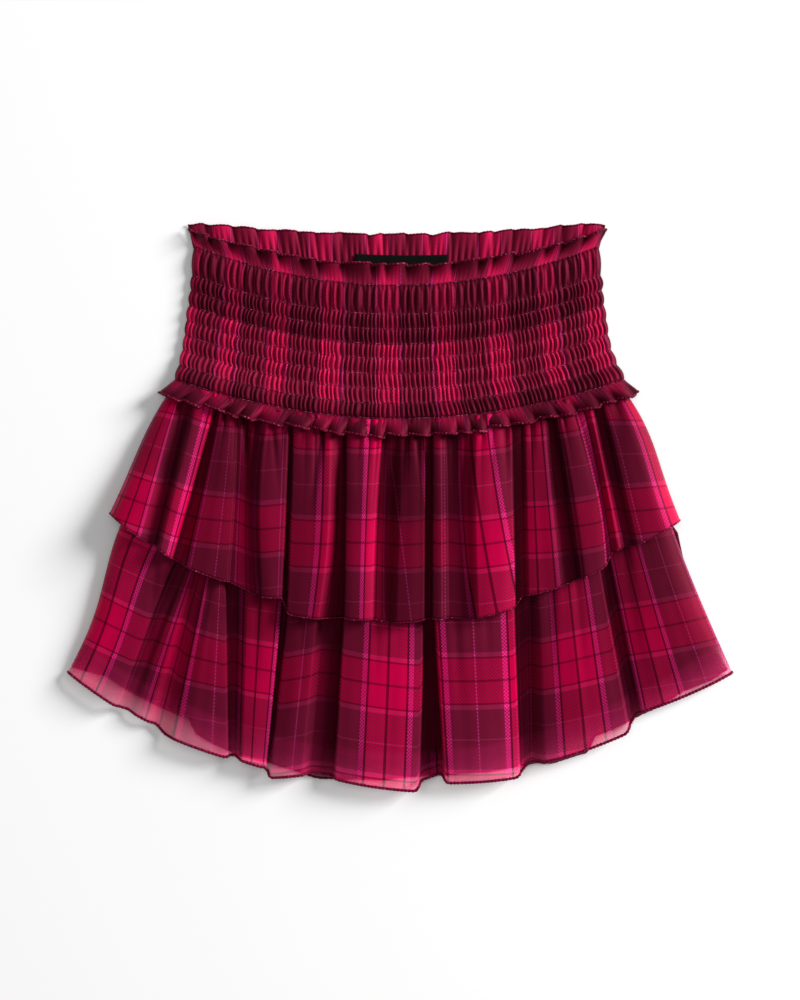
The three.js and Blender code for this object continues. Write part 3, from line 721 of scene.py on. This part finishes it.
# Painted shade between the small gathers below the seam.
PLEAT_SHADE = 0.55  # how much darker it is between two of them
PLEAT_SHADE_REACH = 0.14  # share of the tier over which that fades
RIPPLE = 0.35  # a slow unevenness of the cloth
CORNER = 3.2  # rounding of the hem at the side of a fold
HEM_STEP = 0.5
HEM_EASE = 13  # steps over which the hem evens out
OVER_BACK = 0.72  # how clear the cloth is where the back ply lies under it
# The darkest painted shade and the brightest painted light.
DARKEST, BRIGHTEST = 0.98, -1.6


def columns_of(names, rows):
    """The columns of a table, by name."""
    return dict(zip(names, np.array(rows, dtype=float).T))


def flank(f, share, width):
    """The rise of a fold from its side: an even ease over its share of the fold, or a quarter circle where
    the flank is a crisp one."""
    s = np.clip(f / np.maximum(share, 1e-6), 0, 1)
    crisp = np.sqrt(1 - (1 - s) ** 2)
    return np.where(share > 0, np.where(width <= CRISP, crisp, smooth(s)), 1.0)


def gathered_tier(
    name, folds, sides, creases, floors, seam, hem, fold_start, gathers, check, finish, lit
):
    """The folds of a tier, from seam to hem, as its surface: heights stand on a floor that climbs over the
    pieces below, and fall to the side edges as a flattened tube does. The folds stand at fold_start of
    their height at the seam, where small gathers of that height run out. The place on the cloth follows
    the folds, so the stripes run down them. Shade is painted into its grooves, creases and gathers. lit is
    painted light: how much brighter the cloth is painted below the lining, where light comes through it."""
    fold, side = columns_of(FOLD, folds), columns_of(SIDES, sides)
    floors, crease = columns_of(FLOORS, floors), columns_of(CREASE, creases)
    count = len(folds)
    widths = fold["hem_r"] - fold["hem_l"]
    lefts, rights = (np.minimum(fold[key] / widths, WIDEST_FLANK) for key in ("left", "right"))

    # Columns: q is twice the number of the fold, plus its share of the fold, or 1 plus that of the groove
    stops = []
    for i, (width, left, right) in enumerate(zip(widths, lefts, rights)):
        start, end = left or NO_FLANK, 1 - (right or NO_FLANK)
        stops += [
            2 * i + np.linspace(0, start, 9 if left else 8)[:-1],
            2 * i + np.linspace(start, end, int(width / COLUMN) + 4),
            2 * i + np.linspace(end, 1, 9 if right else 8)[1:],
        ]
        if i + 1 < count:
            gap = fold["hem_l"][i + 1] - fold["hem_r"][i]
            stops.append(2 * i + 1 + np.linspace(0, 1, int(gap / GROOVE_COLUMN) + 6)[1:-1])
    q = np.concatenate(stops)
    at = np.arange(2 * count)
    pairs = {
        key: np.ravel(np.column_stack([fold[key + "_l"], fold[key + "_r"]]))
        for key in ("seam", "hem", "drop", "top", "cloth")
    }
    seam_x, hem_x, drop = (np.interp(q, at, pairs[key]) for key in ("seam", "hem", "drop"))
    bow, sway, lift = (np.interp(q, at, side[key]) for key in ("bow", "sway", "lift"))
    index = np.minimum(q // 2, count - 1).astype(int)
    f = q - 2 * index
    inside = f <= 1.0
    f = np.clip(f, 0, 1)
    width, left, right = widths[index], fold["left"][index], fold["right"][index]
    stands = flank(f, lefts[index], left) * flank(1 - f, rights[index], right)
    stands = np.where(inside, stands, 0.0)
    rise = fold["rise"][index] * stands * (1 - CROWN_FALL * (2 * f - 1) ** 2)

    # The hem drops at the folds, rounds off at their crisp sides, lifts in the grooves, and evens out
    corner = np.minimum(CORNER, width / 3)
    near_left = np.where(left > 0, np.clip(1 - f * width / corner, 0, 1), 0)
    near_right = np.where(right > 0, np.clip(1 - (1 - f) * width / corner, 0, 1), 0)
    rounding = corner * (2 - np.sqrt(1 - near_left**2) - np.sqrt(1 - near_right**2))
    drop = drop - (1 - stands) * lift - stands * rounding
    even = np.arange(hem_x[0], hem_x[-1], HEM_STEP)
    bell = np.hanning(HEM_EASE + 2) / np.hanning(HEM_EASE + 2).sum()
    padded = np.pad(np.interp(even, hem_x, drop), HEM_EASE // 2 + 1, mode="edge")
    drop = np.interp(hem_x, even, np.convolve(padded, bell, "valid"))

    # The surface: t goes from the seam to the hem
    t = np.linspace(0, 1, 60)[:, None]
    floor = np.interp(t, floors["at"], floors["floor"])
    side_level = np.interp(t, floors["at"], floors["side"])
    straight = (1 - t) * seam_x + t * hem_x
    left_x, right_x = straight[:, :1], straight[:, -1:]
    share = 2 * (straight - left_x) / (right_x - left_x) - 1
    x = straight + bow * np.sin(np.pi * t**0.8) + sway * np.sin(2 * np.pi * t)
    seam_y = line(seam, seam_x)
    hem_y = line(hem, hem_x) - drop
    y = (1 - t) * seam_y + t * hem_y
    opened = fold_start + (1 - fold_start) * smooth(t / FOLD_REACH)
    pleat = np.abs(np.sin(PLEAT_PACE * seam_x + 1.5 * wander(seam_x, 0.11, 0.9)))
    small = gathers * (2.0 * pleat**0.7 - 0.6) * np.exp(-t / PLEAT_REACH)
    ripple = RIPPLE * wander(hem_x, 0.21, 0.5) * smooth((t - 0.15) / 0.5) * (0.4 + 0.6 * stands)
    crease = {key: value[:, None, None] for key, value in crease.items()}
    aside = x - (crease["at"] + crease["lean"] * t / crease["reach"])
    near = np.exp(-((aside / crease["width"]) ** 2)) * (1 - smooth(t / crease["reach"]))
    trough = (crease["depth"] * near).sum(axis=0)
    crease_painted_shade = (crease["dark"] * near).sum(axis=0)
    height = floor + rise * opened + small + ripple - trough
    roll = np.sqrt(np.maximum(0, 1 - np.abs(share) ** SIDE_ROLL))
    z = side_level + (height - side_level) * roll + 0.3
    length = np.hypot(hem_x - seam_x, hem_y - seam_y)
    u = (1 - t) * np.interp(q, at, pairs["top"]) + t * np.interp(q, at, pairs["cloth"])
    v = length * (1 - t) - check(hem_x)

    # Its painted shade and light: painted dark in grooves, creases and gathers, and painted bright where
    # one ply lies clear on the table
    fold_painted_shade, groove_painted_shade = (
        (1 - t) * np.interp(q, at, side[key + "_top"]) + t * np.interp(q, at, side[key + "_hem"])
        for key in ("fold", "groove")
    )
    single = smooth((hem_of_back(x) - y) / 3 + 0.5)
    clear = clear_of_lining(x, y) * (OVER_BACK + (1 - OVER_BACK) * single)
    painted_shading = stands * fold_painted_shade + (1 - stands) * groove_painted_shade + crease_painted_shade
    painted_shading = painted_shading + PLEAT_SHADE * (1 - pleat) ** 2 * np.exp(-t / PLEAT_SHADE_REACH)
    if lit:
        # Painted light: brighter where the cloth lies clear of the lining and where one ply lies alone on
        # the table.
        painted_shading = painted_shading * (1 - 0.3 * clear) - lit * clear**2 - 0.3 * single
    painted_shading = np.clip(painted_shading, BRIGHTEST, DARKEST)
    return grid_object(name, x, y, z, finish, u, v, painted_shading, clear), x, y, z


def lower_check(x):
    """How far above the hem the middle of a crimson block lies, which falls off from the middle to the
    sides by a power, as the hem is cut on a curve."""
    return 72 - 30 * (np.abs(x) / 233) ** 2.2


def upper_check(x):
    """The same on the upper tier."""
    return 54 - 35 * (np.abs(x + 8) / 185) ** 2.2


TIER_SEAM = {"y": YOKE_FOOT - 1, "rise": ROW_SAG, "half": 158.0, "centre": 0.0}
lower_front, x, y, z = gathered_tier(
    "cloth_lower_tier_front",
    LOWER_FOLDS,
    LOWER_SIDES,
    LOWER_CREASES,
    LOWER_FLOOR,
    LOWER_SEAM,
    LOWER_HEM,
    fold_start=0.25,
    gathers=0.3,
    check=lower_check,
    finish=sheer,
    lit=1.1,
)
lower_edge = edge_tube("edge_lower_tier_front", x[-1], y[-1], z[-1] - 0.2, 1.0, wine_thread)
upper_front, x, y, z = gathered_tier(
    "cloth_upper_tier_front",
    UPPER_FOLDS,
    UPPER_SIDES,
    UPPER_CREASES,
    UPPER_FLOOR,
    TIER_SEAM,
    UPPER_HEM,
    fold_start=0.35,
    gathers=0.9,
    check=upper_check,
    finish=plaid,
    lit=0.0,
)
upper_edge = edge_tube("edge_upper_tier_front", x[-1], y[-1], z[-1] - 0.2, 0.55, glinting_thread)
for piece, trim, place, slot, flat, area in (
    (lower_front, lower_edge, "lower_tier_front", "sheer_cloth", (0.60, 0.150), 0.078),
    (upper_front, upper_edge, "upper_tier_front", "plaid_cloth", (0.58, 0.146), 0.070),
):
    ply(piece, 0.5)
    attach(piece, "root")
    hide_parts(place)
    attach(trim, "root")

# The front of the yoke
# One strip of chiffon, twice as wide as it lies, sewn with nine rows of elastic thread that draw it into
# narrow upright gathers. Between the rows they puff out, most in the deep first band. The strip runs on
# past the first and the last row as frills, whose edges are overlocked.
BASE = 4.4  # height of the elastic rows over the table
LIFT = 6.0  # the foot of the yoke lies on the upper tier
LIFT_REACH = 25.0
GATHERS = 95
WIDE_GATHERS = 53  # in the first band
GATHER_HEIGHT = 2.0
PINCHED = 0.16  # share of their height that the gathers keep on a row of elastic
PUFF = 1.2  # how far the sides stand out between the rows
FRILL_FLUTES = 19
FRILL_FLUTE_HEIGHT = 5.0
FOOT_FLUTES = 23
FOOT_FLUTE_HEIGHT = 4.6
YOKE_HALF = 148  # about half the width of the yoke, over which its cloth is measured out
# The lines across the yoke: its upper edge (0), the rows of elastic (1 to 9) and its lower edge (10)
rows_y = [YOKE_TOP, *(YOKE_TOP - FIRST_BAND - BAND * i for i in range(ROWS - 1))]
rows_y = np.array([168.4, *rows_y, 48.6])
rows_sag = np.array([25.1, *[ROW_SAG] * ROWS, 29.6])
rows_half = np.array([147.0, 141.7, 143.2, 144, 145.3, 147, 148.3, 150.2, 153.3, 157.5, 168.3])
rows_aside = np.array([0.9, 0, 0, 0, 0, 0, 0, 0.3, 1.2, 2.2, 1.5])  # the yoke lies a little askew


def streak(turns, place, width):
    """1 along a line in each hump, at that place from 0 to 1 across it, and a bell curve to its sides."""
    off = np.abs(np.mod(turns - place + 0.5, 1.0) - 0.5)
    return np.exp(-((off / width) ** 2))


def front_yoke(share, r):
    """Points of the strip at share, -1 to 1 across it, and r, its place among the lines across it. Rows of
    humps stand on a base: gathers, high between the rows of elastic and pinched on them, and flutes on the
    frills. Where a gather begins wanders along each row, and it slants on its way to the next."""
    row_numbers = np.arange(ROWS + 2)
    band = np.clip(np.floor(r), 0, ROWS)
    smocked = (r >= 1) & (r <= ROWS)
    between = np.sin(np.pi * np.clip(r - band, 0, 1))
    first = smooth((r - 1) / 0.25) * smooth((2 - r) / 0.25)
    top, foot = smooth(1 - r), smooth(r - ROWS)

    # Gathers and flutes
    row = np.round(r)
    later = smooth((r - row) / 0.3 + 0.5)
    before, after = (wander(share, 61.0, 1.7 * row + turn) for turn in (-1.4, 0.3))
    shift = (1 - later) * before + later * after
    turns = GATHERS / 2 * (share + 1) + 0.35 * wander(share, 19.0, 1.1) + 0.2 * shift
    turns = turns + 0.35 * (r - band - 0.5) * np.sin(1.9 * band + 7.0 * share) * smocked
    wide_turns = WIDE_GATHERS / 2 * (share + 1) + 0.3 * wander(share, 16.0, 0.4)
    narrow = hump(turns, 1.35) * (0.85 + 0.35 * each(turns, 1.3 * band))
    wide = hump(wide_turns, 1.3) * (0.95 + 0.3 * each(wide_turns, 0.6)) + 0.25 * hump(turns, 1.0)
    relief = (1 - first) * narrow + first * wide
    pinched = np.where(smocked, PINCHED + (1 - PINCHED) * between**0.6, PINCHED)
    flutes = FRILL_FLUTES / 2 * (share + 1) + 0.33 * wander(share, 14.0, 0.4)
    foot_flutes = FOOT_FLUTES / 2 * (share + 1) + 0.36 * wander(share, 12.0, 2.4)
    flute = hump(flutes, 1.5) ** 0.7 * (0.9 + 0.3 * each(flutes, 0.9))
    foot_flute = hump(foot_flutes, 1.5) ** 0.7 * (0.9 + 0.35 * each(foot_flutes, 2.1))

    # Points
    row_y, sag, half, aside = (
        np.interp(r, row_numbers, values) for values in (rows_y, rows_sag, rows_half, rows_aside)
    )
    half = half + np.where(smocked, PUFF * between, 0)
    bend = 0.5 * between * wander(share, 43.0, 0.7 + band) * smocked
    x = YOKE_CENTRE + aside + share * half + bend
    y = row_y + sag * np.abs(share) ** (2 - 0.2 * foot)
    y = y + top * 1.5 * swing(flutes) + top * 0.8 * each(flutes, 3.0)
    y = y - foot * 2.2 * swing(foot_flutes) + foot * 1.3 * each(foot_flutes, 0.2)
    lifted = smooth(1 - (row_y - YOKE_FOOT) / LIFT_REACH)
    height = BASE + LIFT * lifted + GATHER_HEIGHT * relief * pinched * (1 - top) * (1 - foot)
    height = height + top * (0.4 + FRILL_FLUTE_HEIGHT * flute)
    height = height + foot * (1.0 + FOOT_FLUTE_HEIGHT * foot_flute)
    side_level = 2.4 + 0.9 * top + 2.8 * lifted
    roll = np.sqrt(np.maximum(0, 1 - np.abs(share) ** SIDE_ROLL))
    z = side_level + (height - side_level) * roll

    # Place on the cloth, which runs slower over a crest than over a groove
    shown = (1 - first) * turns + first * wide_turns
    count = (1 - first) * GATHERS + first * WIDE_GATHERS
    slow = 0.6 * np.sin(2 * np.pi * np.mod(shown, 1.0)) / (2 * np.pi) * (1 - top) * (1 - foot)
    u = gathered_cloth(share * YOKE_HALF + slow * 2 * YOKE_HALF / count)
    v = row_y + 0 * x - YOKE_CHECK + 1.1 * each(turns, 0.4 + band) * smocked * between

    # Painted shade and light: painted dark in the grooves, with a painted highlight streak on most crests,
    # whose tips are painted shining at the elastic. The frills are painted darker, most in the valleys
    # between their flutes.
    bright = 0.5 + 0.75 * each(turns, 0.7 + band)
    fold = 0.5 + 0.5 * each(1.7 * turns, 0.3 + 2.1 * band)
    fine = 0.34 + 0.5 * streak(turns, 0.0, 0.14) - 0.75 * streak(turns, 0.62, 0.07) * bright
    fine = fine - 0.3 * streak(1.7 * turns, 0.3, 0.14) * fold
    fine = fine - 0.6 * streak(turns, 0.62, 0.12) * (1 - between) ** 2
    broad = 0.28 + 0.38 * streak(wide_turns, 0.0, 0.12)
    broad = broad - 0.3 * streak(wide_turns, 0.55, 0.2) - 0.25 * streak(turns, 0.5, 0.15)
    painted_shading = np.where(smocked, (1 - first) * fine + first * broad, 0.0)
    painted_shading = painted_shading + top * (0.78 + 0.32 * (1 - flute) ** 2)
    painted_shading = painted_shading + foot * (0.56 + 0.5 * (1 - foot_flute) ** 2)
    return x, y, z, u, v, np.clip(painted_shading, -0.5, 1)


smocked_rows = [np.linspace(1, 2, 10), *(np.linspace(i, i + 1, 6)[1:] for i in range(2, ROWS))]
smocked_rows = np.concatenate(smocked_rows)
for name, r, columns, flat, area in (
    ("cloth_yoke_front", smocked_rows, 1080, (0.56, 0.098), 0.052),
    ("cloth_frill_top", np.linspace(0, 1, 16), 560, (0.45, 0.018), 0.0058),
    ("cloth_frill_foot", np.linspace(ROWS, ROWS + 1, 16), 560, (0.45, 0.016), 0.0056),
):
    x, y, z, u, v, painted_shading = front_yoke(np.linspace(-1, 1, columns)[None, :], r[:, None])
    strip = ply(grid_object(name, x, y, z, smock, u, v, painted_shading), 0.45)
    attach(strip, "root")
    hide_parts("yoke_front")

# The edges are round wraps, level with the cloth. The elastic thread stands proud of its stitches.
elastic = overlock("wine elastic thread", "#3a0618", "#c05a80", fine=1300.0, few=0.55)
for name, r, radius, thread in (
    ("edge_frill_top", 0.0, 1.0, glinting_thread),
    ("edge_frill_foot", ROWS + 1.0, 1.0, glinting_thread),
    *((f"elastic_row_{i}", float(i), 0.26, elastic) for i in range(1, ROWS + 1)),
):
    x, y, z, *_ = front_yoke(np.linspace(-0.998, 0.998, 560), np.full(560, r))
    trim = edge_tube(name, x, y, z - 0.1 if radius > 0.5 else z + 0.1, radius, thread, sides=5)
    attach(trim, "root")
